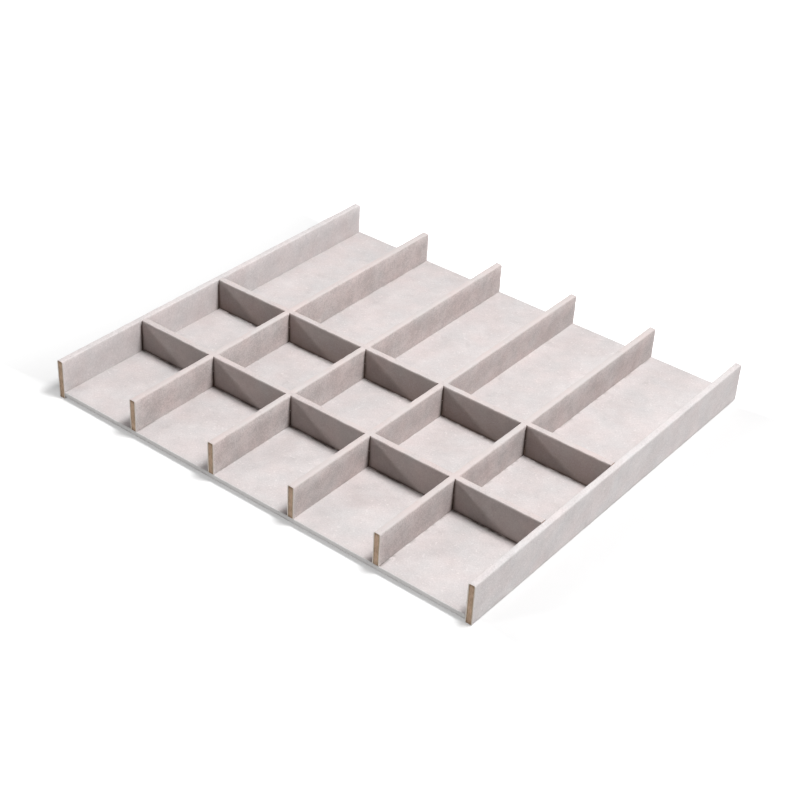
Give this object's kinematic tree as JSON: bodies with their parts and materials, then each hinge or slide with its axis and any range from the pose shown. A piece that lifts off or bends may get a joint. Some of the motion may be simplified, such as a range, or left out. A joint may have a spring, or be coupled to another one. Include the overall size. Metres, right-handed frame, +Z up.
{
  "type": "jewelry organizer",
  "caption": "Low open-ended drawer tray in pale suede, its wrapped dividers half-lapped into a grid of compartments over a layered base.",
  "frame": {"origin": "middle of the footprint, on the surface that the tray stands on", "axes": "+X from the left wall to the right wall, +Y from the raw front ends to the wrapped rear ends, +Z up"},
  "size_m": [0.56, 0.505, 0.048],
  "materials": {
    "fibreboard": "raw cut edge",
    "suede": "brushed nap"
  },
  "bodies": {
    "root": {"bottom_panel_core": "fibreboard", "bottom_panel_cover": "suede", "base_panel_core": "fibreboard", "base_panel_cover": "suede", "left_side_core": "fibreboard", "left_side_cover": "suede", "divider_1_core": "fibreboard", "divider_1_cover": "suede", "divider_2_core": "fibreboard", "divider_2_cover": "suede", "divider_3_core": "fibreboard", "divider_3_cover": "suede", "divider_4_core": "fibreboard", "divider_4_cover": "suede", "right_side_core": "fibreboard", "right_side_cover": "suede", "front_cross_core": "fibreboard", "front_cross_cover": "suede", "rear_cross_core": "fibreboard", "rear_cross_cover": "suede"}
  },
  "joints": []
}
